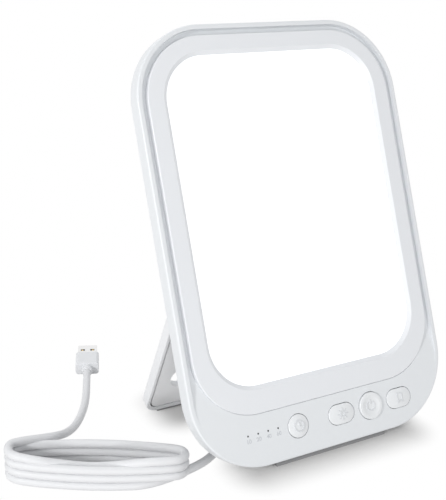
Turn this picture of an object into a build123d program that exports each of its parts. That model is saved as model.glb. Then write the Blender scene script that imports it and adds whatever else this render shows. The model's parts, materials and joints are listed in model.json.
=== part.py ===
from build123d import *
import os
from math import atan2, cos, pi, radians, sin, sqrt, tan

# Sizes in millimetres, angles in degrees.
# Case pieces are drawn on a bench plane: X across, Y up the panel, Z out of its front face,
# with Z = 0 on the rim. place_case() then stands the panel up at its lean.
# Row frame: origin at the centre of the case foot's flat face, +Z up, -Y towards the user.

# ---- case ----
case_width = 160.0
case_height = 228.0
corner_radius = 40.0
front_depth = 8.6
case_depth = 12.0
case_wall = 2.2
edge_round = 1.0
spare = 1.0
bite = 0.5
lean_angle = 22.6
foot_lift = 0.5

rim_width = 2.6
groove_width = 3.0
groove_depth = 3.2
groove_round = 0.5
ledge_thickness = 1.6
chin_height = 26.9
chin_thickness = 2.0
ramp_start = 24.0
ramp_end = 64.0

# ---- bezel and light stack ----
bezel_gap = 0.06
bezel_side = 8.9
bezel_top = 8.1
bezel_bottom = 12.2
bezel_lower_radius = 33.0
bezel_lip = 1.75
bezel_lip_slant = 2.1
bezel_edge_round = 0.6
opening_radius = 26.0
layer_gap = 0.1
diffuser_overlap = 3.5
diffuser_thickness = 2.0
guide_thickness = 2.5
guide_inset = 0.3
reflector_thickness = 0.4
tray_thickness = 0.8
strip_gap = 0.1
strip_rib = 1.2
strip_thickness = 1.0
strip_height = 2.4
strip_margin = 7.0
chip_length = 3.0
chip_depth = 1.2
chip_height = 1.4
chip_pitch = 9.0

# ---- buttons and board ----
button_row = 15.6
timer_place = -20.5
brightness_place = 7.1
power_place = 26.4
memory_place = 46.0
timer_diameter = 12.3
power_diameter = 14.7
pill_length = 16.5
pill_width = 10.6
button_rise = 1.3
button_round = 0.5
button_crown = 1.0
power_rim = 1.7
power_dish = 0.9
button_gap = 0.3
button_travel = 0.5
flange_reach = 0.8
flange_thickness = 1.0
stem_diameter = 2.8
stem_entry = 0.3
stem_gap = 0.3
switch_side = 6.0
switch_height = 2.4
dot_setback = 12.1
dot_pitch = 6.0
dot_count = 4
dot_row = 17.3
dot_diameter = 0.9
dot_gap = 0.05
pipe_width = 2.5
pipe_margin = 1.8
pipe_back_gap = 1.0
indicator_size = (1.6, 0.8, 0.8)
board_setback = 24.0
board_low = 8.0
board_high = 25.0
board_room = 3.4
board_thickness = 1.2
board_corner = 2.0
board_boss_setback = 4.0
board_boss_inner = [(-8.0, 11.5), (35.8, 22.0)]
board_boss_diameter = 4.4
board_screw_diameter = 1.6
board_screw_length = 4.0
driver_chip = (-36.0, 17.0, 7.0, 7.0, 1.2)
power_coils = [(20.0, 15.0, 6.0, 6.0, 1.8), (28.0, 15.0, 6.0, 6.0, 1.8)]
capacitors = [(-22.0, 14.0, 3.2, 1.6, 1.0), (-22.0, 17.0, 3.2, 1.6, 1.0), (-22.0, 20.0, 3.2, 1.6, 1.0)]
connector_side_gap = 5.0
connector_width = 6.0
connector_length = 4.0
connector_height = 1.9
connector_setback = 0.5
lead_rise = 6.0
lead_turn = 8.0
lead_end = 3.0
wire_diameter = 1.0
wire_bend = 0.55
core_place = 1.4

# ---- rear cover ----
cover_setback = 0.3
cover_slope_inset = 3.0
cover_edge_round = 1.6
cover_skin = 1.6
lip_gap = 0.15
lip_width = 1.6
lip_height = 1.2
rib_thickness = 1.2
rib_rows = 4
rib_columns = 3
rib_gap = 0.05
boss_inset = 8.0
boss_low = 32.5
boss_low_inset = 10.0
boss_diameter = 6.0
boss_height_gap = 0.6
post_diameter = 7.6
screw_diameter = 2.5
screw_fit = 0.05
screw_head_diameter = 5.0
screw_head_height = 1.5
screw_tip_gap = 0.4
screw_pocket_depth = 2.4
cross_length = 2.8
cross_width = 0.6
cross_depth = 0.8

# ---- stand and hinge ----
hinge_height = 86.0
hinge_lift = 0.3
open_angle = 48.7
stand_setback = 6.5
stand_thickness = 6.4
stand_corner = 8.0
stand_shoulder_corner = 2.5
stand_edge_round = 0.8
stand_rim = 1.9
stand_end_rim = 3.3
stand_recess = 1.2
stand_recess_start = 10.0
stand_groove_width = 0.8
stand_groove_depth = 1.0
stand_panel = 3.1
stand_wall = 3.0
stand_rib_count = 7
stand_rib_width = 1.6
slot_margin = 10.8
slot_width = 18.4
slot_from_end = 27.4
cheek_thickness = 4.4
cheek_gap = 0.3
washer_inset = 0.3
shoulder_gap = 0.9
stop_place = 45.0
stop_width = 8.0
stop_length = 6.5
pin_diameter = 3.0
pin_length = 16.0
pin_gap = 0.05
washer_thickness = 0.8
pad_least = 1.0
pad_inset = 0.5
case_pad_length = 70.0
case_pad_from = 3.6
case_pad_to = 8.2

# ---- cord, coil and plug ----
cord_diameter = 4.4
gland_height = 32.0
gland_length = 22.0
gland_root = 8.2
gland_tip = 5.6
gland_collar = 1.6
gland_collar_diameter = 10.0
gland_neck_diameter = 6.6
gland_notches = 5
gland_notch_depth = 0.5
coil_centre = (-119.8, 32.2)
coil_heading = -29.5
coil_half_length = 44.2
coil_half_width = 12.4
coil_end_radius = 9.2
coil_layers = 4
plug_place = (-85.4, 133.2)
plug_heading = 67.5
plug_entry = 13.0
plug_body_length = 16.2
plug_body_width = 14.1
plug_body_height = 7.6
plug_body_round = 1.8
plug_collar_length = 4.2
plug_collar_diameter = 6.4
shell_width = 12.0
shell_height = 4.5
shell_wall = 0.3
shell_round = 0.3
shell_length = 12.0
shell_socket = 5.0
shell_window = (2.2, 2.6)
shell_window_place = 6.6
shell_window_spacing = 5.9
tongue_height = 1.9
tongue_setback = 0.6
plug_edge_round = 0.5
contact_size = (7.4, 1.0, 0.2)
contact_spacing = 2.2

# ---- worked out from the sizes above ----
half_width = case_width / 2
board_half = half_width - board_setback
board_boss_places = [(-board_half + board_boss_setback, 11.5), *board_boss_inner]
connector_place = board_half - connector_side_gap
dot_first = timer_place - dot_setback - (dot_count - 1) * dot_pitch
sin_lean = sin(radians(lean_angle))
cos_lean = cos(radians(lean_angle))
stand_lean = open_angle - lean_angle
stand_width = case_width - 2 * stand_setback
slot_length = stand_width - 2 * slot_margin
case_rise = front_depth * sin_lean + foot_lift
bezel_inset = rim_width + groove_width
ledge_back = groove_depth + ledge_thickness
screw_length = case_depth - screw_pocket_depth - ledge_back - screw_tip_gap
bezel_high = case_height - bezel_inset
opening_low = chin_height + bezel_bottom
opening_high = bezel_high - bezel_top
opening_half = half_width - bezel_inset - bezel_side
diffuser_front = bezel_lip
guide_front = diffuser_front + diffuser_thickness + layer_gap
reflector_front = guide_front + guide_thickness
tray_front = reflector_front + reflector_thickness + layer_gap
tray_back = tray_front + tray_thickness
cover_inside = case_depth - cover_skin
axis_lift = stand_thickness / 2 + hinge_lift
axis_depth = case_depth + axis_lift
boss_back = front_depth - boss_height_gap
board_front = cover_inside - board_room
board_back = board_front + board_thickness
flange_front = chin_thickness + button_gap
switch_front = board_front - switch_height
coil_height = coil_layers * cord_diameter


def floor_point(y, z):
    """Row Y and Z of the bench point (y, z), before the origin is moved to the foot."""
    return y * sin_lean - z * cos_lean, y * cos_lean + z * sin_lean + case_rise


def foot_line(depth):
    """Bench Y of the floor at a given depth behind the rim."""
    return (depth * sin_lean - case_rise) / cos_lean


foot_depth = (case_pad_from + case_pad_to) / 2
foot_centre = floor_point(foot_line(foot_depth), -foot_depth)[0]
stand_reach = floor_point(hinge_height, -axis_depth)[1] / cos(radians(stand_lean))
stand_length = stand_reach - stand_thickness / 2 * tan(radians(stand_lean)) - pad_least


def place_case(part):
    """From the bench to the row frame: the panel leans back on its foot."""
    return Pos(0, -foot_centre, case_rise) * Rot(90 - lean_angle, 0, 0) * part


def place_stand(part):
    """From the stand's own frame (Y to its free end, hinge axis on X) to the open position."""
    return place_case(Pos(0, hinge_height, -axis_depth) * Rot(open_angle - 180, 0, 0) * part)


# ---- shared shapes ----
def slab(sketch, front, back):
    """A sketch turned into a plate between two depths behind the rim."""
    return extrude(Pos(0, 0, -back) * sketch, amount=back - front)


def panel_outline(inset, low=None, high=None, radius=None, lower_radius=None):
    """Rounded upright rectangle set in from the case outline."""
    low = inset if low is None else low
    high = case_height - inset if high is None else high
    radius = corner_radius - inset if radius is None else radius
    lower_radius = radius if lower_radius is None else lower_radius
    wide = case_width - 2 * inset
    face = Pos(0, (low + high) / 2) * Rectangle(wide, high - low)
    face = fillet(face.vertices().group_by(Axis.Y)[-1], radius)
    return fillet(face.vertices().group_by(Axis.Y)[0], lower_radius)


def disc(diameter, x, y):
    return Pos(x, y) * Circle(diameter / 2)


def pill(length, width, x, y):
    return Pos(x, y) * SlotOverall(length, width)


def block(x0, x1, y0, y1, front, back):
    """Upright box between bench coordinates and two depths."""
    return slab(Pos((x0 + x1) / 2, (y0 + y1) / 2) * Rectangle(x1 - x0, y1 - y0), front, back)


def rod(diameter, x0, x1, y=0.0, z=0.0):
    """Round bar along X."""
    return Pos(x0, y, z) * extrude(Plane.YZ * Circle(diameter / 2), amount=x1 - x0)


def boss_places():
    """Two points on the upper corner arcs' diagonals, and two above the button row."""
    step = corner_radius - (corner_radius - boss_inset) / sqrt(2)
    upper = [(side * (half_width - step), case_height - step) for side in (-1, 1)]
    return upper + [(side * (half_width - boss_low_inset), boss_low) for side in (-1, 1)]


# ---- front case ----
def chin_ramp():
    """Space in front of the chin and groove: level on the chin, easing down to the groove floor."""
    middle = (ramp_start + ramp_end) / 2
    with BuildLine() as line:
        Line((0, 0), (ramp_start, 0))
        TangentArc((ramp_start, 0), (middle, -groove_depth / 2), tangent=(1, 0))
        TangentArc((middle, -groove_depth / 2), (ramp_end, -groove_depth), tangent=line.line % 1)
        Line((ramp_end, -groove_depth), (case_height, -groove_depth))
        Line((case_height, -groove_depth), (case_height, 1))
        Line((case_height, 1), (0, 1))
        Line((0, 1), (0, 0))
    side = make_face(line.line)
    return Pos(-half_width, 0, 0) * extrude(Plane.YZ * side, amount=case_width)


def front_pocket():
    pocket = slab(panel_outline(rim_width), -spare, groove_depth)
    floor_edges = pocket.edges().group_by(Axis.Z)[0]
    return fillet(floor_edges, groove_round) & chin_ramp()


def bezel_outline(gap=0.0):
    return panel_outline(bezel_inset - gap, low=chin_height - gap, high=bezel_high + gap,
                         radius=corner_radius - bezel_inset + gap, lower_radius=bezel_lower_radius + gap)


def opening_outline(grow):
    """Outline of the bezel's opening, grown outwards."""
    return panel_outline(half_width - opening_half - grow, low=opening_low - grow,
                         high=opening_high + grow, radius=opening_radius + grow)


def diffuser_outline(grow=0.0):
    return opening_outline(diffuser_overlap - bezel_lip_slant + grow)


def front_case():
    body = slab(panel_outline(0), 0, front_depth)
    body = fillet(body.edges().group_by(Axis.Z)[-1], edge_round)
    body -= front_pocket()
    body -= slab(bezel_outline(bezel_gap), -spare, groove_depth)
    inside = panel_outline(case_wall)
    body -= slab(inside, ledge_back, front_depth + spare)
    chin_room = inside & (Pos(0, ramp_start / 2) * Rectangle(case_width, ramp_start))
    body -= slab(chin_room, chin_thickness, front_depth + spare)
    for x, y in boss_places():
        body += slab(disc(boss_diameter, x, y), ledge_back, boss_back)
    for x, y in board_boss_places:
        body += slab(disc(board_boss_diameter, x, y), chin_thickness, board_front)
    for side in (-1, 1):
        body += strip_ledge(side)
    body -= slab(diffuser_outline(guide_inset), -spare, front_depth)
    for x, y in boss_places():
        body -= slab(disc(screw_diameter + 2 * screw_fit, x, y), ledge_back, boss_back + spare)
    for x, y in board_boss_places:
        body -= slab(disc(board_screw_diameter + 2 * screw_fit, x, y),
                     chin_thickness + spare, board_front + spare)
    for outline in button_outlines(button_gap).values():
        body -= slab(outline, -spare, chin_thickness + spare)
    for x in dot_places():
        body -= slab(disc(dot_diameter + 2 * dot_gap, x, dot_row), -spare, chin_thickness + spare)
    return body


def bezel_frame():
    ring = slab(bezel_outline(), 0, groove_depth)
    outer_edge = ring.edges().group_by(Axis.Z)[-1]
    ring = fillet(outer_edge, bezel_edge_round)
    flare = bezel_lip_slant / bezel_lip
    mouth = loft([Pos(0, 0, bite) * opening_outline(flare * bite),
                  Pos(0, 0, -bezel_lip) * opening_outline(-bezel_lip_slant)])
    ring -= mouth
    return ring - slab(diffuser_outline(layer_gap), bezel_lip, groove_depth + spare)


# ---- light stack ----
def diffuser():
    return slab(diffuser_outline(), diffuser_front, diffuser_front + diffuser_thickness)


def light_guide():
    return slab(diffuser_outline(), guide_front, reflector_front)


def reflector_sheet():
    return slab(diffuser_outline(), reflector_front, reflector_front + reflector_thickness)


def backlight_tray():
    """Shallow metal tray that backs the light guide, with stiffening beads."""
    plate = slab(diffuser_outline(), tray_front, tray_back)
    bead_high = opening_high - strip_margin
    bead_low = opening_low + strip_margin
    for x in (-opening_half / 2, 0, opening_half / 2):
        bead = pill(bead_high - bead_low, 2 * tray_thickness, 0, 0)
        plate -= slab(Pos(x, (bead_low + bead_high) / 2) * Rot(0, 0, 90) * bead,
                      tray_back - tray_thickness / 2, tray_back + spare)
    return plate


def strip_edge():
    """X where the light chips start, just outside the light guide."""
    return opening_half - bezel_lip_slant + diffuser_overlap + guide_inset


def strip_span():
    """Y range of a light strip."""
    return opening_low + strip_margin, opening_high - strip_margin


def side_block(side, near, far, low, high, front, back):
    """Upright box on one side of the panel, between two distances from its centre line."""
    x0, x1 = sorted((side * near, side * far))
    return block(x0, x1, low, high, front, back)


def strip_board(side):
    low, high = strip_span()
    edge = strip_edge() + chip_depth
    front = ledge_back + layer_gap
    return side_block(side, edge, edge + strip_thickness, low, high, front, front + strip_height)


def strip_chips(side):
    low, high = strip_span()
    edge = strip_edge()
    front = ledge_back + layer_gap
    count = int((high - low) // chip_pitch)
    start = (low + high - (count - 1) * chip_pitch - chip_length) / 2
    chips = []
    for i in range(count):
        y = start + i * chip_pitch
        chips.append(side_block(side, edge, edge + chip_depth, y, y + chip_length,
                                front, front + chip_height))
    return Compound(children=chips)


def strip_ledge(side):
    """Rib of the front case that backs a light strip."""
    low, high = strip_span()
    edge = strip_edge() + chip_depth + strip_thickness + strip_gap
    return side_block(side, edge, edge + strip_rib, low, high, ledge_back, ledge_back + strip_height)


# ---- buttons, switches and board ----
def button_outlines(grow=0.0):
    return {
        "timer_button": disc(timer_diameter + 2 * grow, timer_place, button_row),
        "brightness_button": pill(pill_length + 2 * grow, pill_width + 2 * grow, brightness_place,
                                  button_row),
        "power_button": disc(power_diameter + 2 * grow, power_place, button_row),
        "memory_button": pill(pill_length + 2 * grow, pill_width + 2 * grow, memory_place, button_row),
    }


def button_centres():
    return {
        "timer_button": timer_place,
        "brightness_button": brightness_place,
        "power_button": power_place,
        "memory_button": memory_place,
    }


def ball(x, top, half, drop):
    """Sphere on a button's axis that falls by drop at half from the axis."""
    radius = (half * half + drop * drop) / (2 * drop)
    return Pos(x, button_row, top - radius) * Sphere(radius)


def button(name):
    """Cap that stands proud of the chin, a flange that keeps it in, and a stem down to its switch."""
    x = button_centres()[name]
    cap = slab(button_outlines()[name], -button_rise, flange_front)
    if name == "power_button":
        cap = fillet(cap.edges().group_by(Axis.Z)[-1], button_round)
        cap -= mirror(ball(x, power_dish - button_rise, power_diameter / 2 - power_rim, power_dish), Plane.XY)
    else:
        long_way = timer_diameter if name == "timer_button" else pill_length
        cap &= ball(x, button_rise, long_way / 2, button_crown)
        cap = fillet(cap.edges().filter_by_position(Axis.Z, 0, button_rise), button_round)
    flange = slab(button_outlines(flange_reach)[name], flange_front, flange_front + flange_thickness)
    stem = slab(disc(stem_diameter, x, button_row), flange_front, switch_front + stem_entry)
    return cap + flange + stem


def dot_places():
    return [dot_first + i * dot_pitch for i in range(dot_count)]


def light_pipe():
    """Clear bar behind the chin with one pin up into each indicator hole."""
    places = dot_places()
    bar = block(places[0] - pipe_margin, places[-1] + pipe_margin, dot_row - pipe_width / 2,
                dot_row + pipe_width / 2, chin_thickness + dot_gap, board_front - pipe_back_gap)
    for x in places:
        bar += slab(disc(dot_diameter, x, dot_row), dot_gap, chin_thickness + spare)
    return bar


def indicator_leds():
    width, length, height = indicator_size
    return Compound(children=[block(x - width / 2, x + width / 2, dot_row - length / 2, dot_row + length / 2,
                                    board_front - height, board_front) for x in dot_places()])


def tact_switches():
    """One square switch under each stem, open on top where the stem goes in."""
    half = switch_side / 2
    well_floor = switch_front + stem_entry + button_travel + stem_gap
    switches = []
    for x in button_centres().values():
        body = block(x - half, x + half, button_row - half, button_row + half, switch_front, board_front)
        switches.append(body - slab(disc(stem_diameter + 2 * stem_gap, x, button_row), 0, well_floor))
    return Compound(children=switches)


def control_board():
    board = block(-board_half, board_half, board_low, board_high, board_front, board_back)
    board = fillet(board.edges().filter_by(Axis.Z), board_corner)
    for x, y in board_boss_places:
        board -= slab(disc(board_screw_diameter + 4 * screw_fit, x, y),
                      board_front - spare, board_back + spare)
    return board


def board_screws():
    screws = []
    for x, y in board_boss_places:
        shank = slab(disc(board_screw_diameter, x, y), board_front - board_screw_length + board_thickness,
                     board_back)
        head = slab(disc(board_screw_diameter * 2, x, y), board_back, board_back + board_screw_diameter / 2)
        screws.append(shank + head)
    return Compound(children=screws)


def board_parts():
    """Driver chip, coils and capacitors on the back of the board."""
    return Compound(children=[block(x - wide / 2, x + wide / 2, y - long / 2, y + long / 2,
                                    board_back, board_back + tall)
                              for x, y, wide, long, tall in (driver_chip, *power_coils, *capacitors)])


def wire_connectors():
    """Header at each end of the board for the light strips."""
    half = connector_width / 2
    high = board_high - connector_setback
    return Compound(children=[block(x - half, x + half, high - connector_length, high,
                                    board_back, board_back + connector_height)
                              for x in (-connector_place, connector_place)])


def wire(points):
    """Insulated wire along straight runs with rounded corners."""
    path = FilletPolyline(*points, radius=wire_bend)
    return sweep(Plane(path @ 0, z_dir=path % 0) * Circle(wire_diameter / 2), path)


def strip_leads():
    """Wires from the board's headers up to the foot of each light strip."""
    level_run = -board_back - connector_height / 2
    end_x = strip_edge() + chip_depth + strip_thickness / 2
    strip_low = strip_span()[0]
    start_y = board_high - connector_setback
    leads = []
    for side in (-1, 1):
        leads.append(wire([(side * connector_place, start_y, level_run),
                           (side * connector_place, start_y + lead_rise, level_run),
                           (side * end_x, strip_low - lead_turn, level_run),
                           (side * end_x, strip_low - lead_end, -ledge_back - strip_height / 2),
                           (side * end_x, strip_low, -ledge_back - strip_height / 2)]))
    return Compound(children=leads)


def cord_tail():
    """Cores of the cord, from the strain relief forward and down to the board's edge."""
    board_middle = -(board_front + board_back) / 2
    start = -(cover_inside - gland_collar)
    return Compound(children=[wire([(x, gland_height, start), (x, gland_height, board_middle),
                                    (x, board_high, board_middle)]) for x in (-core_place, core_place)])


# ---- rear cover ----
def rear_cover():
    shell = loft([Pos(0, 0, -front_depth) * panel_outline(cover_setback),
                  Pos(0, 0, -case_depth) * panel_outline(cover_setback + cover_slope_inset)])
    shell = fillet(shell.edges().group_by(Axis.Z)[0], cover_edge_round)
    lip_outside = case_wall + lip_gap
    room = panel_outline(lip_outside + lip_width)
    lip = slab(panel_outline(lip_outside), front_depth - lip_height, front_depth + rib_thickness)
    shell = shell + lip - slab(room, 0, cover_inside)
    shell += cover_ribs()
    for x, y in boss_places():
        shell += slab(disc(post_diameter, x, y), boss_back, cover_inside + bite)
    for x, y in boss_places():
        shell -= slab(disc(screw_diameter + 4 * screw_fit, x, y), boss_back - spare, case_depth + spare)
        shell -= slab(disc(screw_head_diameter + 4 * screw_fit, x, y), case_depth - screw_pocket_depth,
                      case_depth + spare)
    shell -= slab(disc(gland_neck_diameter, 0, gland_height), cover_inside - spare,
                  case_depth + spare)
    for side in (-1, 1):
        shell += hinge_cheek(side)
        shell += hinge_stop(side * stop_place)
    return shell


def cover_ribs():
    """Grid of ribs that presses the light stack forward against the bezel."""
    front, back = tray_back + rib_gap, cover_inside + bite
    half = rib_thickness / 2
    wide, tall = 2 * opening_half, opening_high - opening_low
    ribs = []
    for i in range(rib_rows):
        y = opening_low + tall * (i + 0.5) / rib_rows
        ribs.append(block(-opening_half, opening_half, y - half, y + half, front, back))
    for i in range(rib_columns):
        x = wide * (i + 0.5) / rib_columns - opening_half
        ribs.append(block(x - half, x + half, opening_low, opening_high, front, back))
    return ribs


def cheek_span(side):
    """X range of one hinge cheek; its outer face is in line with the stand's edge."""
    outer = stand_width / 2 - cheek_gap
    return sorted((side * (outer - cheek_thickness), side * outer))


def hinge_cheek(side):
    x0, x1 = cheek_span(side)
    ear = rod(2 * axis_lift, x0, x1, hinge_height, -axis_depth)
    ear += block(x0, x1, hinge_height - axis_lift, hinge_height + axis_lift, case_depth - bite, axis_depth)
    return ear - rod(pin_diameter + 2 * pin_gap, x0 - spare, x1 + spare, hinge_height, -axis_depth)


def hinge_stop(x):
    """Wedge on the rear cover that the neck of the stand comes to rest on when it is open."""
    near = -stand_thickness / 2 - hinge_lift
    blank = Box(stop_width, stop_length, stand_thickness)
    wedge = Pos(x, stop_length / 2, near - stand_thickness / 2) * blank
    wedge = Pos(0, hinge_height, -axis_depth) * Rot(open_angle - 180, 0, 0) * wedge
    behind_cover = Pos(x, hinge_height, -case_depth - stand_thickness + cover_skin / 2)
    return wedge & behind_cover * Box(2 * stop_width, 8 * stand_thickness, 2 * stand_thickness)


def case_screws():
    screws = []
    for x, y in boss_places():
        seat = case_depth - screw_pocket_depth
        top = seat + screw_head_height
        shank = slab(disc(screw_diameter, x, y), seat - screw_length, seat)
        head = slab(disc(screw_head_diameter, x, y), seat, top)
        bars = Rectangle(cross_length, cross_width) + Rectangle(cross_width, cross_length)
        screws.append(shank + head - slab(Pos(x, y) * bars, top - cross_depth, top))
    return Compound(children=screws)


def floor_room():
    """Everything above the table, to trim a pad flat."""
    return Pos(0, 0, case_height) * Box(4 * case_width, 4 * case_width, 2 * case_height)


def case_foot():
    """Rubber strip under the case, cut level with the table."""
    strip = block(-case_pad_length / 2, case_pad_length / 2, -2 * front_depth, 0, case_pad_from, case_pad_to)
    return place_case(strip) & floor_room()


# ---- stand ----
def stand_outline(inset, start, end_inset):
    """Stand outline in its own frame, set in from the sides, from start to the free end."""
    low, high = start, stand_length - end_inset
    face = Pos(0, (low + high) / 2) * Rectangle(stand_width - 2 * inset, high - low)
    face = fillet(face.vertices().group_by(Axis.Y)[-1], stand_corner - inset)
    return fillet(face.vertices().group_by(Axis.Y)[0], stand_shoulder_corner)


def level(sketch, low, high):
    """Plate between two Z values of the stand's own frame."""
    return extrude(Pos(0, 0, low) * sketch, amount=high - low)


def barrel_half():
    return stand_width / 2 - cheek_gap - cheek_thickness - washer_thickness - cheek_gap


def stand_blank():
    """Full-thickness plate with its neck and hinge barrel."""
    half = stand_thickness / 2
    plate = level(stand_outline(0, axis_lift + shoulder_gap, 0), -half, half)
    plate = fillet(plate.edges().filter_by(Plane.XY), stand_edge_round)
    neck = Pos(0, stand_recess_start / 2) * Rectangle(2 * barrel_half(), stand_recess_start)
    return plate + level(neck, -half, half) + rod(stand_thickness, -barrel_half(), barrel_half())


def stand_core():
    """Hollow in the hidden face of the stand, between its upright ribs."""
    low, high = -stand_thickness / 2 + stand_recess + stand_panel, stand_thickness
    core = level(stand_outline(stand_wall, stand_recess_start, stand_wall), low, high)
    spacing = (stand_width - 2 * stand_wall) / (stand_rib_count + 1)
    for i in range(stand_rib_count):
        x = (i + 1) * spacing - stand_width / 2 + stand_wall
        core -= level(Pos(x, stand_length / 2) * Rectangle(stand_rib_width, stand_length), low, high)
    return core


def stand_plate():
    face = -stand_thickness / 2
    inner_rim = stand_rim + stand_groove_width
    inner_end = stand_end_rim + stand_groove_width
    recess = stand_outline(stand_rim, stand_recess_start, stand_end_rim)
    panel = stand_outline(inner_rim, stand_recess_start + stand_groove_width, inner_end)
    slot = Pos(0, stand_length - slot_from_end) * SlotOverall(slot_length, slot_width)
    body = stand_blank() - stand_core()
    body -= level(recess, face - spare, face + stand_recess)
    body -= level(recess - panel, face, face + stand_recess + stand_groove_depth)
    body -= level(slot, face - spare, -face + spare)
    for side in (-1, 1):
        x0, x1 = sorted((side * (barrel_half() + spare), side * pin_start()))
        body -= rod(pin_diameter, x0, x1)
    return body


def pin_start():
    """Inner end of each hinge pin, seated in the bottom of its bore."""
    return stand_width / 2 - 2 * cheek_gap - pin_length


def hinge_pins():
    ends = (pin_start(), pin_start() + pin_length)
    return Compound(children=[rod(pin_diameter, *sorted(side * end for end in ends)) for side in (-1, 1)])


def friction_washers():
    washers = []
    for side in (-1, 1):
        inner = stand_width / 2 - cheek_gap - cheek_thickness
        x0, x1 = sorted((side * inner, side * (inner - washer_thickness)))
        ring = rod(stand_thickness - 2 * washer_inset, x0, x1)
        ring -= rod(pin_diameter + 4 * pin_gap, x0 - spare, x1 + spare)
        washers.append(Pos(0, hinge_height, -axis_depth) * ring)
    return Compound(children=washers)


def stand_foot():
    """Rubber strip on the stand's free end, cut level with the table."""
    reach = 2 * stand_thickness
    straight = stand_width - 2 * stand_corner - 2 * pad_inset
    half = stand_thickness / 2 - pad_inset / 2
    strip = level(Pos(0, stand_length + reach / 2) * Rectangle(straight, reach), -half, half)
    return place_stand(strip) & floor_room()


# ---- cord, coil and plug ----
def strain_relief():
    """Tapered sleeve with ring notches, clamped in the rear cover."""
    tip = case_depth + gland_length
    root_r, tip_r = gland_root / 2, gland_tip / 2
    inner_face = cover_inside - gland_collar
    points = [(0, -inner_face), (gland_collar_diameter / 2, -inner_face),
              (gland_collar_diameter / 2, -cover_inside), (gland_neck_diameter / 2, -cover_inside),
              (gland_neck_diameter / 2, -case_depth), (gland_collar_diameter / 2, -case_depth),
              (gland_collar_diameter / 2, -case_depth - gland_collar), (root_r, -case_depth - gland_collar),
              (tip_r, -tip), (0, -tip), (0, -inner_face)]
    profile = make_face(Polyline(*points))
    sleeve = revolve(Plane.XZ * profile, Axis.Z)
    run = gland_length - gland_collar
    notch = run / (2 * gland_notches + 1)
    for i in range(gland_notches):
        z = -case_depth - gland_collar - notch * (2 * i + 1)
        radius = root_r + (tip_r - root_r) * notch * (2 * i + 1.5) / run
        ring = Circle(radius + 1) - Circle(radius - gland_notch_depth)
        sleeve -= extrude(Pos(0, 0, z - notch) * ring, amount=notch)
    return Pos(0, gland_height, 0) * sleeve


def gland_end():
    """Tip of the strain relief, in the row frame."""
    y, z = floor_point(gland_height, -case_depth - gland_length)
    return (0.0, y - foot_centre, z)


def tube(points):
    """Plain cord: straight runs joined by arcs as large as the runs allow."""
    points = [Vector(p) for p in points]
    radii = []
    for a, b, c in zip(points, points[1:], points[2:]):
        turn = radians((b - a).get_angle(c - b))
        shorter = min((b - a).length, (c - b).length)
        radii.append(0.45 * shorter / tan(turn / 2))
    path = FilletPolyline(*points, radius=radii)
    solid = sweep(Plane(path @ 0, z_dir=path % 0) * Circle(cord_diameter / 2), path)
    expected = path.length * pi * cord_diameter ** 2 / 4
    print("cord tube length %.1f radii %s volume ratio %.4f"
          % (path.length, [round(r, 1) for r in radii], solid.volume / expected))
    return solid


def case_lead_points():
    """From the strain relief down to the table and into the right end of the coil."""
    x, y, z = gland_end()
    reach = 9.0
    low = cord_diameter / 2
    return [(x, y, z), (x, y + reach * cos_lean, z - reach * sin_lean), (-2.5, 57.0, 9.8),
            (-11.5, 64.5, 3.8), (-24.5, 64.0, low), (-34.5, 54.5, low), (-40.0, 41.5, low),
            (-47.5, 29.3, low), (-58.8, 20.6, low), (-71.0, 14.0, low), (-85.2, 6.9, low)]


def plug_lead_points():
    """From the top of the coil's left end down to the table and away to the plug."""
    top = coil_height - cord_diameter / 2
    low = cord_diameter / 2
    plug = Vector(*plug_place, plug_body_height / 2)
    entry = plug - plug_entry * Vector(cos(radians(plug_heading)), sin(radians(plug_heading)), 0)
    return [(-141.0, 54.6, top), (-131.0, 58.6, top - 3.8), (-120.4, 69.4, low + 3.6),
            (-110.6, 82.6, low), (-102.3, 95.3, low), (-95.9, 108.0, low), entry, plug]


def oval(half_length, half_width, end_radius):
    """Oval of four arcs: two round ends joined by two long bowed sides."""
    rise = half_width - end_radius
    run = half_length - end_radius
    bow = 2 * atan2(rise, run)
    jx, jy = run + end_radius * sin(bow), end_radius * cos(bow)
    with BuildLine() as line:
        ThreePointArc((-jx, jy), (0, half_width), (jx, jy))
        ThreePointArc((jx, jy), (half_length, 0), (jx, -jy))
        ThreePointArc((jx, -jy), (0, -half_width), (-jx, -jy))
        ThreePointArc((-jx, -jy), (-half_length, 0), (-jx, jy))
    return make_face(line.line)


def cord_coil():
    """Outer shape of the coiled length."""
    grow = cord_diameter / 2
    shape = oval(coil_half_length + grow, coil_half_width + grow, coil_end_radius + grow)
    return Pos(*coil_centre, 0) * Rot(0, 0, coil_heading) * extrude(shape, amount=coil_height)


def place_plug(part):
    """Plug frame: X from the cord to the mouth, centred on the cord, lying flat."""
    return Pos(*plug_place, plug_body_height / 2) * Rot(0, 0, plug_heading) * part


def along(sketch, x0, x1):
    """Plug section drawn on YZ, between two X values."""
    return Pos(x0, 0, 0) * extrude(Plane.YZ * sketch, amount=x1 - x0)


def plug_collar():
    ring = along(Circle(plug_collar_diameter / 2), 0, plug_collar_length)
    ring = fillet(ring.edges().group_by(Axis.X)[0], plug_edge_round)
    return ring


def plug_body():
    x0 = plug_collar_length
    x1 = x0 + plug_body_length
    body = along(RectangleRounded(plug_body_width, plug_body_height, plug_body_round), x0, x1)
    body = fillet(body.edges().group_by(Axis.X)[0] + body.edges().group_by(Axis.X)[-1], plug_edge_round)
    return body - along(Rectangle(shell_width, shell_height), x1 - shell_socket, x1 + spare)


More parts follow.
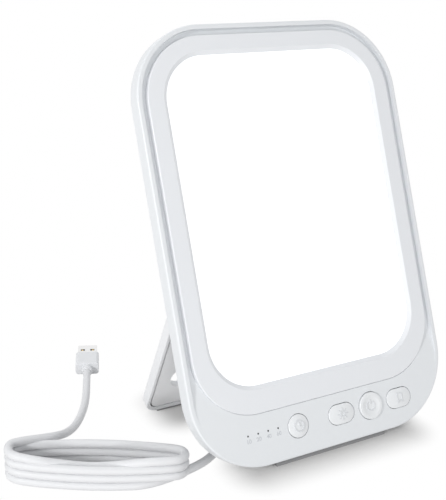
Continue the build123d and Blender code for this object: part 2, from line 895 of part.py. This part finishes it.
def plug_shell():
    x0 = plug_collar_length + plug_body_length - shell_socket
    x1 = x0 + shell_socket + shell_length
    bore = RectangleRounded(shell_width - 2 * shell_wall, shell_height - 2 * shell_wall, shell_round)
    tube_section = RectangleRounded(shell_width, shell_height, shell_round + shell_wall) - bore
    shell = along(tube_section, x0, x1)
    for side in (-1, 1):
        shell -= Pos(x1 - shell_window_place, side * shell_window_spacing / 2, 0) * Box(
            shell_window[0], shell_window[1], 2 * shell_height)
    return shell


def tongue_level():
    """Centre height of the tongue, against the inside of the shell's lower wall."""
    return -shell_height / 2 + shell_wall + tongue_height / 2


def plug_tongue():
    x0 = plug_collar_length + plug_body_length - shell_socket
    x1 = x0 + shell_socket + shell_length - tongue_setback
    inner = shell_width - 2 * shell_wall - 2 * shell_round
    tongue = along(Pos(0, tongue_level()) * Rectangle(inner, tongue_height), x0, x1)
    root = along(Rectangle(inner, shell_height - 2 * shell_wall), x0, x0 + shell_socket)
    return tongue + root


def plug_contacts():
    length, width, thick = contact_size
    x1 = plug_collar_length + plug_body_length + shell_length - 2 * tongue_setback
    z = tongue_level() + tongue_height / 2 + thick / 2
    return Compound(children=[Pos(x1 - length / 2, (i - 1.5) * contact_spacing, z) * Box(length, width, thick)
                              for i in range(4)])


case_parts = {
    "front_case": front_case,
    "bezel_frame": bezel_frame,
    "diffuser": diffuser,
    "light_guide": light_guide,
    "reflector_sheet": reflector_sheet,
    "backlight_tray": backlight_tray,
    "light_pipe": light_pipe,
    "indicator_leds": indicator_leds,
    "tact_switches": tact_switches,
    "control_board": control_board,
    "board_screws": board_screws,
    "board_parts": board_parts,
    "wire_connectors": wire_connectors,
    "strip_leads": strip_leads,
    "rear_cover": rear_cover,
    "case_screws": case_screws,
    "friction_washers": friction_washers,
    "strain_relief": strain_relief,
    "cord_tail": cord_tail,
}


def build_all():
    parts = {name: place_case(make()) for name, make in case_parts.items()}
    for side, word in ((-1, "left"), (1, "right")):
        parts["light_strip_" + word] = place_case(strip_board(side))
        parts["light_chips_" + word] = place_case(strip_chips(side))
    for name in button_centres():
        parts[name] = place_case(button(name))
    parts["case_foot"] = case_foot()
    parts["stand_plate"] = place_stand(stand_plate())
    parts["hinge_pins"] = place_stand(hinge_pins())
    parts["stand_foot"] = stand_foot()
    parts["case_lead"] = tube(case_lead_points())
    parts["plug_lead"] = tube(plug_lead_points())
    parts["cord_coil"] = cord_coil()
    for name, make in (("plug_collar", plug_collar), ("plug_body", plug_body), ("plug_shell", plug_shell),
                       ("plug_tongue", plug_tongue), ("plug_contacts", plug_contacts)):
        parts[name] = place_plug(make())
    return parts


os.makedirs("parts", exist_ok=True)
for part_name, solid in build_all().items():
    export_step(solid, os.path.join("parts", part_name + ".step"))
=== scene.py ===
import json
from math import atan2, cos, pi, radians, sin, sqrt

import bmesh
import bpy
from mathutils import Matrix, Vector
from mathutils.bvhtree import BVHTree
from mathutils.geometry import tessellate_polygon


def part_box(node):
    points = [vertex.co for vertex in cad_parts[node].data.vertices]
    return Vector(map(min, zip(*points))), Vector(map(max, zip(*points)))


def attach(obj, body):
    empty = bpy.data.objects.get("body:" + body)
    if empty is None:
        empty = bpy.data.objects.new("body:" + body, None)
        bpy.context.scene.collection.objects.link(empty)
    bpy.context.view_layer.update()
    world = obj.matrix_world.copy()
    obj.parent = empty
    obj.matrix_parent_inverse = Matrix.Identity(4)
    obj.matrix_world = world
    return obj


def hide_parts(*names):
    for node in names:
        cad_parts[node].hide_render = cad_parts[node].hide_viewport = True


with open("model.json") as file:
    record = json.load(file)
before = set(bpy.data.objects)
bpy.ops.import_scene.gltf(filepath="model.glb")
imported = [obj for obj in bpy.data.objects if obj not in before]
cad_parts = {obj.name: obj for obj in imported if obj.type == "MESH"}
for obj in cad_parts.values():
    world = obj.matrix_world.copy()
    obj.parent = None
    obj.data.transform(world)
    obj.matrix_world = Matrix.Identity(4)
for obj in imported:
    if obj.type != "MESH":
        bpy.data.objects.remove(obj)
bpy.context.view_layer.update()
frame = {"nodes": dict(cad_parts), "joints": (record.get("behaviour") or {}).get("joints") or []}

# Blender works in metres. The cord's route, the marks and the stand's face are written in millimetres,
# and all angles in degrees. Bench coordinates of the panel: X across, Y up the panel, Z out of its face.
MM = 0.001

# ---- camera: its place in metres, its focal length and sensor in millimetres ----
CAMERA_PLACE = (-0.26608, -0.34126, 0.26393)
CAMERA_HEADING = 30.0
CAMERA_PITCH = 19.67
CAMERA_ROLL = 1.49
CAMERA_FOCUS = 66.24
SENSOR_WIDTH = 36.0
NEAREST_SEEN = 0.01

# ---- hinge axis: up from the panel's lower edge and behind its face, in metres ----
HINGE_HEIGHT = 0.086
HINGE_DEPTH = 0.0155

# ---- cord, repeating the route of the CAD tube; its diameter in metres ----
CORD_DIAMETER = 0.0044
CORD_ROUNDNESS = 6
CORD_SMOOTHNESS = 8
CASE_LEAD = [(0, 38.8794, 20.2786), (0, 47.1883, 16.82), (-2.5, 57.0, 9.8), (-11.5, 64.5, 3.8),
             (-24.5, 64.0, 2.2), (-34.5, 54.5, 2.2), (-40.0, 41.5, 2.2), (-47.5, 29.3, 2.2),
             (-58.8, 20.6, 2.2), (-71.0, 14.0, 2.2)]
PLUG_LEAD = [(-131.0, 58.6, 11.6), (-120.4, 69.4, 5.8), (-110.6, 82.6, 2.2), (-102.3, 95.3, 2.2),
             (-95.9, 108.0, 2.2), (-90.375, 121.1895, 3.8), (-85.4, 133.2, 3.8)]
COIL_CENTRE = (-119.8, 32.2)
COIL_HEADING = -29.5
COIL_HALF_LENGTH = 44.2
COIL_HALF_WIDTH = 12.4
COIL_END_RADIUS = 9.2
COIL_END_POINTS = 5
COIL_SIDE_POINTS = 4
COIL_TURNS = 3
COIL_SAG = [(24.0, -10.8, 15.2), (10.0, -7.6, 11.0), (-4.0, -7.2, 9.8), (-18.0, -8.0, 11.8),
            (-28.0, -10.5, 14.8)]


def panel_axes():
    """Up and out directions of the panel and its origin, from the joints of the frame."""
    joints = {joint["name"]: joint for joint in frame["joints"]}
    out = -Vector(joints["power_press"]["axis"])
    up = out.cross(Vector((1, 0, 0)))
    hinge = Vector(joints["stand_hinge"]["pos_m"])
    return up, out, hinge - HINGE_HEIGHT * up + HINGE_DEPTH * out


PANEL_UP, PANEL_OUT, PANEL_ORIGIN = panel_axes()


def make_camera():
    turn = Matrix.Rotation(radians(-CAMERA_HEADING), 4, "Z")
    tilt = Matrix.Rotation(radians(90 - CAMERA_PITCH), 4, "X")
    roll = Matrix.Rotation(radians(CAMERA_ROLL), 4, "Z")
    data = bpy.data.cameras.new("camera")
    data.lens = CAMERA_FOCUS
    data.sensor_width = SENSOR_WIDTH
    data.clip_start = NEAREST_SEEN
    camera = bpy.data.objects.new("camera", data)
    camera.matrix_world = Matrix.Translation(CAMERA_PLACE) @ turn @ tilt @ roll
    bpy.context.scene.collection.objects.link(camera)
    bpy.context.scene.camera = camera


# ---- cord ----
def oval_point(quarter, share):
    """Place along and across the oval. Quarter 0 is its front side, 1 left end, 2 back side, 3 right end."""
    run = COIL_HALF_LENGTH - COIL_END_RADIUS
    rise = COIL_HALF_WIDTH - COIL_END_RADIUS
    bow = 2 * atan2(rise, run)
    side_radius = (run + COIL_END_RADIUS * sin(bow)) / sin(bow)
    sign = -1 if quarter < 2 else 1
    if quarter % 2 == 0:
        angle = bow * (2 * share - 1)
        return sign * side_radius * sin(angle), sign * (COIL_HALF_WIDTH - side_radius * (1 - cos(angle)))
    angle = (pi / 2 - bow) * (2 * share - 1)
    return sign * (run + COIL_END_RADIUS * cos(angle)), -sign * COIL_END_RADIUS * sin(angle)


def coil_place(along, across, height):
    """A place measured along and across the coil, as a point of the route."""
    heading = radians(COIL_HEADING)
    along_dir = Vector((cos(heading), sin(heading), 0))
    across_dir = Vector((-sin(heading), cos(heading), 0))
    return Vector((*COIL_CENTRE, height)) + along * along_dir + across * across_dir


def coil_points():
    """Three stacked turns, each a diameter higher, then a half turn that sags inside them."""
    step = CORD_DIAMETER / MM
    points = []
    for turn in range(COIL_TURNS):
        low = step * (turn + 0.5)
        for quarter in range(4):
            count = COIL_END_POINTS if quarter % 2 else COIL_SIDE_POINTS
            for i in range(count):
                share = (i + 0.5) / count
                along, across = oval_point(quarter, share)
                height = low + step * share if quarter == 3 else low
                points.append(coil_place(along, across, height))
    points += [coil_place(*place) for place in COIL_SAG]
    top = step * (COIL_TURNS + 0.5)
    for i in range(COIL_END_POINTS - 1):
        along, across = oval_point(1, (i + 0.5) / COIL_END_POINTS)
        points.append(coil_place(along, across, top))
    return points


def make_cord():
    """The cord as one smooth curve, whose points carry its radius."""
    route = [Vector(p) for p in CASE_LEAD] + coil_points() + [Vector(p) for p in PLUG_LEAD]
    data = bpy.data.curves.new("cord", "CURVE")
    data.dimensions = "3D"
    data.bevel_depth = 1.0
    data.bevel_resolution = CORD_ROUNDNESS
    data.use_fill_caps = True
    spline = data.splines.new("NURBS")
    spline.points.add(len(route) - 1)
    for target, point in zip(spline.points, route):
        target.co = (*(point * MM), 1)
        target.radius = CORD_DIAMETER / 2
    spline.order_u = 3
    spline.use_endpoint_u = True
    spline.resolution_u = CORD_SMOOTHNESS
    cord = bpy.data.objects.new("cord", data)
    bpy.context.scene.collection.objects.link(cord)
    return cord


make_camera()
cord = make_cord()
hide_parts("case_lead", "cord_coil", "plug_lead")
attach(cord, "panel")


# ---- materials: noise scales are per metre, the grain's depth is in metres ----
CLOUD_SCALE = 22.0
CLOUD_DETAIL = 4.0
GRAIN_DETAIL = 3.0
GRAIN_DEPTH = 0.0001
PLASTIC_IOR = 1.5
PLASTIC_GLOSS_SPREAD = 0.05
COAT_ROUGHNESS = 0.12
METAL_SCALE = 4000.0
METAL_BUMP = 0.08
METAL_SPREAD = 0.02
METAL_GLOSS_SPREAD = 0.06
PANEL_COLOUR = (0.86, 0.87, 0.88)
PANEL_GLOW = 0.45


def new_material(name):
    material = bpy.data.materials.new(name)
    material.use_nodes = True
    return material, material.node_tree, material.node_tree.nodes["Principled BSDF"]


def add_grain(tree, shader, scale, bump, colour, spread, roughness, rough_spread):
    """Fine surface grain, a faint colour change and an uneven gloss from two noises in object space."""
    coords = tree.nodes.new("ShaderNodeTexCoord")
    fine = tree.nodes.new("ShaderNodeTexNoise")
    fine.inputs["Scale"].default_value = scale
    fine.inputs["Detail"].default_value = GRAIN_DETAIL
    broad = tree.nodes.new("ShaderNodeTexNoise")
    broad.inputs["Scale"].default_value = CLOUD_SCALE
    broad.inputs["Detail"].default_value = CLOUD_DETAIL
    for noise in (fine, broad):
        tree.links.new(coords.outputs["Object"], noise.inputs["Vector"])
    tint = tree.nodes.new("ShaderNodeMix")
    tint.data_type = "RGBA"
    tint.inputs[6].default_value = (*[c * (1 - spread) for c in colour], 1)
    tint.inputs[7].default_value = (*[min(1, c * (1 + spread)) for c in colour], 1)
    tree.links.new(broad.outputs["Fac"], tint.inputs[0])
    tree.links.new(tint.outputs[2], shader.inputs["Base Color"])
    gloss = tree.nodes.new("ShaderNodeMapRange")
    gloss.inputs["To Min"].default_value = roughness - rough_spread
    gloss.inputs["To Max"].default_value = roughness + rough_spread
    tree.links.new(fine.outputs["Fac"], gloss.inputs["Value"])
    tree.links.new(gloss.outputs["Result"], shader.inputs["Roughness"])
    relief = tree.nodes.new("ShaderNodeBump")
    relief.inputs["Strength"].default_value = bump
    relief.inputs["Distance"].default_value = GRAIN_DEPTH
    tree.links.new(fine.outputs["Fac"], relief.inputs["Height"])
    tree.links.new(relief.outputs["Normal"], shader.inputs["Normal"])


def plastic(name, colour, roughness, scale=2600.0, bump=0.06, spread=0.006, coat=0.0):
    material, tree, shader = new_material(name)
    add_grain(tree, shader, scale, bump, colour, spread, roughness, PLASTIC_GLOSS_SPREAD)
    shader.inputs["IOR"].default_value = PLASTIC_IOR
    shader.inputs["Coat Weight"].default_value = coat
    shader.inputs["Coat Roughness"].default_value = COAT_ROUGHNESS
    return material


def metal(name, colour, roughness):
    material, tree, shader = new_material(name)
    add_grain(tree, shader, METAL_SCALE, METAL_BUMP, colour, METAL_SPREAD, roughness, METAL_GLOSS_SPREAD)
    shader.inputs["Metallic"].default_value = 1.0
    return material


def lit_panel(name):
    """Opal sheet lit from behind, evenly white."""
    material, tree, shader = new_material(name)
    add_grain(tree, shader, scale=3200.0, bump=0.05, colour=PANEL_COLOUR, spread=0.004, roughness=0.35,
              rough_spread=PLASTIC_GLOSS_SPREAD)
    shader.inputs["Emission Color"].default_value = (1.0, 1.0, 1.0, 1)
    shader.inputs["Emission Strength"].default_value = PANEL_GLOW
    return material


def make_materials():
    return {
        "case": plastic("case_white", (0.785, 0.805, 0.825), 0.42, coat=0.05),
        "bezel": plastic("bezel_white", (0.81, 0.825, 0.85), 0.34, bump=0.04, coat=0.15),
        "button": plastic("button_white", (0.81, 0.825, 0.84), 0.30, coat=0.25),
        "stand": plastic("stand_white", (0.83, 0.84, 0.855), 0.36, coat=0.1),
        # Raised marks in a greyer white than the buttons: painted shade standing in for the shading of their
        # low relief.
        "mark": plastic("mark_painted_shade", (0.73, 0.745, 0.765), 0.35),
        # Numerals in a darker grey than the chin: painted shade standing in for the shading of their low
        # relief.
        "numeral": plastic("numeral_painted_shade", (0.60, 0.615, 0.64), 0.45),
        # Stand's face in a lighter white than the stand: painted light lifting a face that lies in the
        # panel's shade.
        "inner": plastic("stand_face_painted_light", (0.90, 0.905, 0.915), 0.4),
        "cord": plastic("cord_white", (0.75, 0.755, 0.77), 0.5, scale=1800.0, bump=0.05),
        "plug": plastic("plug_white", (0.79, 0.80, 0.82), 0.42, bump=0.03),
        # Dark grey rubber feet whose tone is also painted shadow: it shows as the contact shadow line along
        # the chin's and stand's lower edges.
        "rubber": plastic("foot_rubber", (0.26, 0.26, 0.265), 0.65, scale=1500.0, bump=0.2),
        "tongue": plastic("tongue_black", (0.03, 0.03, 0.034), 0.4),
        "clear": plastic("pipe_smoke", (0.012, 0.012, 0.014), 0.5),
        "guide": plastic("guide_acrylic", (0.85, 0.87, 0.88), 0.1),
        "film": plastic("reflector_film", (0.88, 0.88, 0.88), 0.3),
        "board": plastic("board_green", (0.03, 0.18, 0.08), 0.4),
        "strip": plastic("strip_white", (0.75, 0.75, 0.73), 0.4),
        "chip": plastic("chip_yellow", (0.75, 0.66, 0.25), 0.35),
        "dark": plastic("dark_plastic", (0.02, 0.02, 0.02), 0.4),
        "wire": plastic("wire_red", (0.5, 0.04, 0.03), 0.45),
        "nylon": plastic("washer_nylon", (0.7, 0.7, 0.68), 0.45),
        "panel": lit_panel("diffuser_opal"),
        "tray": metal("tray_metal", (0.72, 0.73, 0.74), 0.35),
        "steel": metal("steel", (0.62, 0.62, 0.63), 0.28),
        "shell": metal("shell_nickel", (0.80, 0.80, 0.80), 0.22),
        "gold": metal("contact_gold", (0.85, 0.62, 0.25), 0.25),
    }


NODE_MATERIALS = {
    "case": ("front_case", "rear_cover"),
    "bezel": ("bezel_frame",),
    "button": ("timer_button", "brightness_button", "power_button", "memory_button"),
    "stand": ("stand_plate",),
    "cord": ("strain_relief", "case_lead", "plug_lead", "cord_coil"),
    "plug": ("plug_body", "plug_collar"),
    "rubber": ("case_foot", "stand_foot"),
    "tongue": ("plug_tongue",),
    "clear": ("light_pipe",),
    "guide": ("light_guide",),
    "film": ("reflector_sheet",),
    "board": ("control_board",),
    "strip": ("light_strip_left", "light_strip_right"),
    "chip": ("light_chips_left", "light_chips_right", "indicator_leds"),
    "dark": ("tact_switches", "board_parts", "wire_connectors"),
    "wire": ("strip_leads", "cord_tail"),
    "nylon": ("friction_washers",),
    "panel": ("diffuser",),
    "tray": ("backlight_tray",),
    "steel": ("hinge_pins", "case_screws", "board_screws"),
    "shell": ("plug_shell",),
    "gold": ("plug_contacts",),
}


def paint(piece, material):
    piece.data.materials.clear()
    piece.data.materials.append(material)


materials = make_materials()
for key, names in NODE_MATERIALS.items():
    for name in names:
        paint(frame["nodes"][name], materials[key])
paint(cord, materials["cord"])


# ---- marks on the chin and buttons, places on the bench and sizes in millimetres ----
BUTTON_ROW = 15.6
TIMER_PLACE = -20.5
BRIGHTNESS_PLACE = 7.1
POWER_PLACE = 26.4
MEMORY_PLACE = 46.0
MARK_HEIGHT = 0.4
MARK_STROKE = 0.6
MARK_SOUGHT_FROM = 10
CLOCK_RADIUS = 2.9
CLOCK_LONG_HAND = 1.9
CLOCK_SHORT_HAND = 1.5
SUN_RADIUS = 1.3
SUN_RAYS = 8
SUN_RAY = (2.2, 3.2)
SUN_STROKE = 0.48
POWER_RADIUS = 2.6
POWER_ARC = (125, 415)
POWER_BAR = (0.9, 3.2)
BOOKMARK_HALF_WIDTH = 1.6
BOOKMARK_HALF_HEIGHT = 2.6
BOOKMARK_NOTCH = -0.9
DOT_FIRST = -50.6
DOT_PITCH = 6.0
NUMERAL_LINE = 13.6
NUMERAL_SIZE = 2.9
NUMERAL_RISE = 0.08
NUMERAL_BEVEL = 0.04
NUMERALS = ("10", "20", "40", "60")


def bench(x, y, z):
    """Bench millimetres to Blender's metres."""
    return PANEL_ORIGIN + MM * (x * Vector((1, 0, 0)) + y * PANEL_UP + z * PANEL_OUT)


def arc(radius, start, end, count=32):
    turns = [radians(start + (end - start) * i / count) for i in range(count + 1)]
    return [(radius * cos(t), radius * sin(t)) for t in turns]


def band(line, width):
    """Outline of a stroke of even width along an open line."""
    left, right = [], []
    for i, (x, y) in enumerate(line):
        x0, y0 = line[max(0, i - 1)]
        x1, y1 = line[min(len(line) - 1, i + 1)]
        length = sqrt((x1 - x0) ** 2 + (y1 - y0) ** 2)
        nx, ny = (y0 - y1) / length * width / 2, (x1 - x0) / length * width / 2
        left.append((x + nx, y + ny))
        right.append((x - nx, y - ny))
    return left + right[::-1]


def ring(radius, width):
    return [arc(radius + width / 2, 0, 360)[:-1], arc(radius - width / 2, 0, 360)[:-1]]


# Each mark is a list of shapes, and each shape is an outline followed by its holes.
def clock_mark():
    hands = [(0, CLOCK_LONG_HAND), (0, 0), (CLOCK_SHORT_HAND, 0)]
    return [ring(CLOCK_RADIUS, MARK_STROKE), [band(hands, MARK_STROKE)]]


def sun_mark():
    rays = []
    for i in range(SUN_RAYS):
        turn = i * 2 * pi / SUN_RAYS
        rays.append([band([(r * cos(turn), r * sin(turn)) for r in SUN_RAY], SUN_STROKE)])
    return [ring(SUN_RADIUS, MARK_STROKE), *rays]


def power_mark():
    bar = [(0, height) for height in POWER_BAR]
    return [[band(arc(POWER_RADIUS, *POWER_ARC), MARK_STROKE)], [band(bar, MARK_STROKE)]]


def bookmark_mark():
    wide, high = BOOKMARK_HALF_WIDTH, BOOKMARK_HALF_HEIGHT
    line = [(-wide, -high), (-wide, high), (wide, high), (wide, -high), (0, BOOKMARK_NOTCH), (-wide, -high)]
    return [[band(line, MARK_STROKE)]]


def raise_shape(mesh, outlines, point):
    """Closed solid over an outline and its holes, from point(x, y, 0) to point(x, y, 1)."""
    feet, tops = [[[mesh.verts.new(point(x, y, level)) for x, y in outline] for outline in outlines]
                  for level in (0, 1)]
    flat = [[Vector((x, y, 0)) for x, y in outline] for outline in outlines]
    for ends in (feet, tops):
        corners = [v for outline in ends for v in outline]
        for triangle in tessellate_polygon(flat):
            mesh.faces.new([corners[i] for i in triangle])
    for foot, top in zip(feet, tops):
        for i in range(len(top)):
            j = (i + 1) % len(top)
            mesh.faces.new((top[i], top[j], foot[j], foot[i]))


def add_piece(name, mesh, material, body):
    """Piece of the case's plastic from a finished mesh, riding on a body."""
    bmesh.ops.recalc_face_normals(mesh, faces=mesh.faces)
    data = bpy.data.meshes.new(name)
    mesh.to_mesh(data)
    mesh.free()
    piece = bpy.data.objects.new(name, data)
    bpy.context.scene.collection.objects.link(piece)
    paint(piece, materials[material])
    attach(piece, body)


def emboss(name, node, body, shapes, place):
    """Raised marks that follow the surface of the piece under them."""
    carrier = frame["nodes"][node].data
    tree = BVHTree.FromPolygons([v.co for v in carrier.vertices], [p.vertices for p in carrier.polygons])

    def on_surface(x, y, level):
        start = bench(place + x, BUTTON_ROW + y, MARK_SOUGHT_FROM)
        hit = tree.ray_cast(start, -PANEL_OUT)[0]
        return hit + (2 * level - 1) * MARK_HEIGHT * MM * PANEL_OUT

    mesh = bmesh.new()
    for outlines in shapes:
        raise_shape(mesh, outlines, on_surface)
    add_piece(name, mesh, "mark", body)


def make_marks():
    emboss("timer_mark", "timer_button", "timer_button", clock_mark(), TIMER_PLACE)
    emboss("brightness_mark", "brightness_button", "brightness_button", sun_mark(), BRIGHTNESS_PLACE)
    emboss("power_mark", "power_button", "power_button", power_mark(), POWER_PLACE)
    emboss("memory_mark", "memory_button", "memory_button", bookmark_mark(), MEMORY_PLACE)


def make_numerals():
    """Minutes under the indicator dots, raised a little from the chin, in a darker grey that is painted
    shade.
    """
    turn = Matrix((Vector((1, 0, 0)), PANEL_UP, PANEL_OUT)).transposed()
    for i, text in enumerate(NUMERALS):
        data = bpy.data.curves.new("numeral_" + text, "FONT")
        data.body = text
        data.align_x = "CENTER"
        data.size = NUMERAL_SIZE * MM
        data.extrude = NUMERAL_RISE * MM
        data.bevel_depth = NUMERAL_BEVEL * MM
        numeral = bpy.data.objects.new("numeral_" + text, data)
        place = bench(DOT_FIRST + i * DOT_PITCH, NUMERAL_LINE, 0)
        numeral.matrix_world = Matrix.Translation(place) @ turn.to_4x4()
        bpy.context.scene.collection.objects.link(numeral)
        numeral.data.materials.append(materials["numeral"])
        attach(numeral, "panel")


make_marks()
make_numerals()


# ---- raised inner face of the stand, its distances in millimetres as in the CAD plate ----
STAND_TURN = -131.3
STAND_HALF_WIDTH = 73.5
STAND_HALF_THICKNESS = 3.2
FACE_SIDE_INSET = 2.7
FACE_END_INSET = 4.1
FACE_START = 10.8
FACE_CORNER = 5.3
FACE_SHOULDER_CORNER = 2.5
FACE_TOP = 0.3
FACE_BASE = 1.3
SLOT_FROM_END = 27.4
SLOT_HALF_LENGTH = 62.8
SLOT_HALF_WIDTH = 9.3
SLOT_ROUNDNESS = 0.999
CORNER_STEPS = 12


def rounded(low, high, low_radius, high_radius):
    """Rectangle between two corners, with its own corner radius at each end of Y."""
    (x0, y0), (x1, y1) = low, high
    corners = [(x1, y1, -1, -1, high_radius, 0), (x0, y1, 1, -1, high_radius, 90),
               (x0, y0, 1, 1, low_radius, 180), (x1, y0, -1, 1, low_radius, 270)]
    line = []
    for x, y, in_x, in_y, radius, start in corners:
        for dx, dy in arc(radius, start, start + 90, CORNER_STEPS):
            line.append((x + in_x * radius + dx, y + in_y * radius + dy))
    return line


def make_stand_face():
    """Plate with a slot, a little smaller than the stand, whose edge shows as a thin line; its lighter white
    is painted light on a face in the panel's shade.
    """
    turn = radians(STAND_TURN)
    along = cos(turn) * PANEL_UP + sin(turn) * PANEL_OUT
    behind = -sin(turn) * PANEL_UP + cos(turn) * PANEL_OUT
    axis = PANEL_ORIGIN + HINGE_HEIGHT * PANEL_UP - HINGE_DEPTH * PANEL_OUT
    length = max((v.co - axis).dot(along) for v in frame["nodes"]["stand_plate"].data.vertices) / MM
    half = STAND_HALF_WIDTH - FACE_SIDE_INSET
    face = rounded((-half, FACE_START), (half, length - FACE_END_INSET), FACE_SHOULDER_CORNER, FACE_CORNER)
    centre = length - SLOT_FROM_END
    slot_low = (-SLOT_HALF_LENGTH, centre - SLOT_HALF_WIDTH)
    slot_high = (SLOT_HALF_LENGTH, centre + SLOT_HALF_WIDTH)
    slot_corner = SLOT_HALF_WIDTH * SLOT_ROUNDNESS
    slot = rounded(slot_low, slot_high, slot_corner, slot_corner)

    def point(x, y, level):
        depth = FACE_TOP if level else FACE_BASE
        return axis + MM * (x * Vector((1, 0, 0)) + y * along + (depth - STAND_HALF_THICKNESS) * behind)

    mesh = bmesh.new()
    raise_shape(mesh, [face, slot], point)
    add_piece("stand_face", mesh, "inner", "stand")


make_stand_face()


# ---- stage and light, in metres and watts ----
FLOOR_HALF_WIDTH = 6.0
FLOOR_COLOUR = (0.755, 0.745, 0.735)
FLOOR_ROUGHNESS = 0.9
# How far from a foot the floor turns white, and how much wider and deeper than the foot its shadow is.
FLOOR_FADE = (0.0, 0.024)
CHIN_PAST_FOOT = (0.010, 0.0)
STAND_PAST_FOOT = (-0.010, 0.010)
AMBIENT = 0.61
AMBIENT_COLOUR = (0.98, 0.99, 1.0)
# Place, target, size and power of each lamp.
LAMPS = {
    "key": ((-1.2, -0.45, 0.55), (0, 0, 0.1), (0.15, 0.15), 6.2),
    "fill": ((-0.7, -1.3, 0.12), (0, 0, 0.1), (0.5, 0.2), 5.0),
    "back": ((0.2, 0.85, 1.2), (0, 0, 0.0), (0.5, 0.5), 4.0),
}


def math_node(tree, operation, *values):
    """Result of a Math node, whose inputs are sockets or numbers."""
    node = tree.nodes.new("ShaderNodeMath")
    node.operation = operation
    for inlet, value in zip(node.inputs, values):
        if isinstance(value, bpy.types.NodeSocket):
            tree.links.new(value, inlet)
        else:
            inlet.default_value = value
    return node.outputs[0]


def shown_rays(tree):
    """1 for the camera and for what metal and clear plastic mirror, 0 for light that falls on things."""
    rays = tree.nodes.new("ShaderNodeLightPath").outputs
    seen = math_node(tree, "MAXIMUM", rays["Is Camera Ray"], rays["Is Glossy Ray"])
    return math_node(tree, "MAXIMUM", seen, rays["Is Transmission Ray"])


def beyond(tree, place, axis, low, high):
    """How far a place lies outside a range along one axis."""
    split = tree.nodes.new("ShaderNodeSeparateXYZ")
    tree.links.new(place, split.inputs[0])
    off = math_node(tree, "SUBTRACT", split.outputs[axis], (low + high) / 2)
    distance = math_node(tree, "ABSOLUTE", off)
    past = math_node(tree, "SUBTRACT", distance, (high - low) / 2)
    return math_node(tree, "MAXIMUM", past, 0.0)


def far_from(tree, place, node, past):
    """How far a place on the floor lies from a foot's box, made wider at both ends and deeper in front."""
    low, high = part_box(node)
    wider, deeper = past
    both = tree.nodes.new("ShaderNodeCombineXYZ")
    tree.links.new(beyond(tree, place, "X", low[0] - wider, high[0] + wider), both.inputs[0])
    tree.links.new(beyond(tree, place, "Y", low[1] - deeper, high[1]), both.inputs[1])
    away = tree.nodes.new("ShaderNodeVectorMath")
    away.operation = "LENGTH"
    tree.links.new(both.outputs[0], away.inputs[0])
    return away.outputs["Value"]


def floor_material():
    """White floor that keeps the shadow near both feet and fades into the white backdrop."""
    material, tree, shader = new_material("floor_white")
    shader.inputs["Base Color"].default_value = (*FLOOR_COLOUR, 1)
    shader.inputs["Roughness"].default_value = FLOOR_ROUGHNESS
    shader.inputs["Specular IOR Level"].default_value = 0.0
    place = tree.nodes.new("ShaderNodeNewGeometry").outputs["Position"]
    from_chin = far_from(tree, place, "case_foot", CHIN_PAST_FOOT)
    from_stand = far_from(tree, place, "stand_foot", STAND_PAST_FOOT)
    away = math_node(tree, "MINIMUM", from_chin, from_stand)
    fade = tree.nodes.new("ShaderNodeMapRange")
    fade.interpolation_type = "SMOOTHSTEP"
    fade.inputs["From Min"].default_value, fade.inputs["From Max"].default_value = FLOOR_FADE
    tree.links.new(away, fade.inputs["Value"])
    white = tree.nodes.new("ShaderNodeEmission")
    mix = tree.nodes.new("ShaderNodeMixShader")
    tree.links.new(math_node(tree, "MULTIPLY", shown_rays(tree), fade.outputs["Result"]), mix.inputs[0])
    tree.links.new(shader.outputs[0], mix.inputs[1])
    tree.links.new(white.outputs[0], mix.inputs[2])
    tree.links.new(mix.outputs[0], tree.nodes["Material Output"].inputs["Surface"])
    return material


def make_stage():
    data = bpy.data.meshes.new("floor")
    half = FLOOR_HALF_WIDTH
    corners = [(-half, -half, 0), (half, -half, 0), (half, half, 0), (-half, half, 0)]
    data.from_pydata(corners, [], [(0, 1, 2, 3)])
    floor = bpy.data.objects.new("floor", data)
    bpy.context.scene.collection.objects.link(floor)
    paint(floor, floor_material())


def make_world():
    """White to look at, with a dimmer even light that falls on things."""
    world = bpy.data.worlds.new("world")
    bpy.context.scene.world = world
    world.use_nodes = True
    tree = world.node_tree
    backdrop = tree.nodes["Background"]
    backdrop.inputs["Color"].default_value = (1, 1, 1, 1)
    backdrop.inputs["Strength"].default_value = 1.0
    ambient = tree.nodes.new("ShaderNodeBackground")
    ambient.inputs["Color"].default_value = (*AMBIENT_COLOUR, 1)
    ambient.inputs["Strength"].default_value = AMBIENT
    mix = tree.nodes.new("ShaderNodeMixShader")
    tree.links.new(shown_rays(tree), mix.inputs[0])
    tree.links.new(ambient.outputs[0], mix.inputs[1])
    tree.links.new(backdrop.outputs[0], mix.inputs[2])
    tree.links.new(mix.outputs[0], tree.nodes["World Output"].inputs[0])


def area_light(name, place, target, size, power):
    data = bpy.data.lights.new(name, "AREA")
    data.shape = "RECTANGLE"
    data.size, data.size_y = size
    data.energy = power
    lamp = bpy.data.objects.new(name, data)
    lamp.location = place
    lamp.rotation_mode = "QUATERNION"
    lamp.rotation_quaternion = (Vector(target) - Vector(place)).to_track_quat("-Z", "Y")
    bpy.context.scene.collection.objects.link(lamp)


make_stage()
make_world()
for lamp_name, setting in LAMPS.items():
    area_light(lamp_name, *setting)
bpy.context.scene.view_settings.view_transform = "Standard"
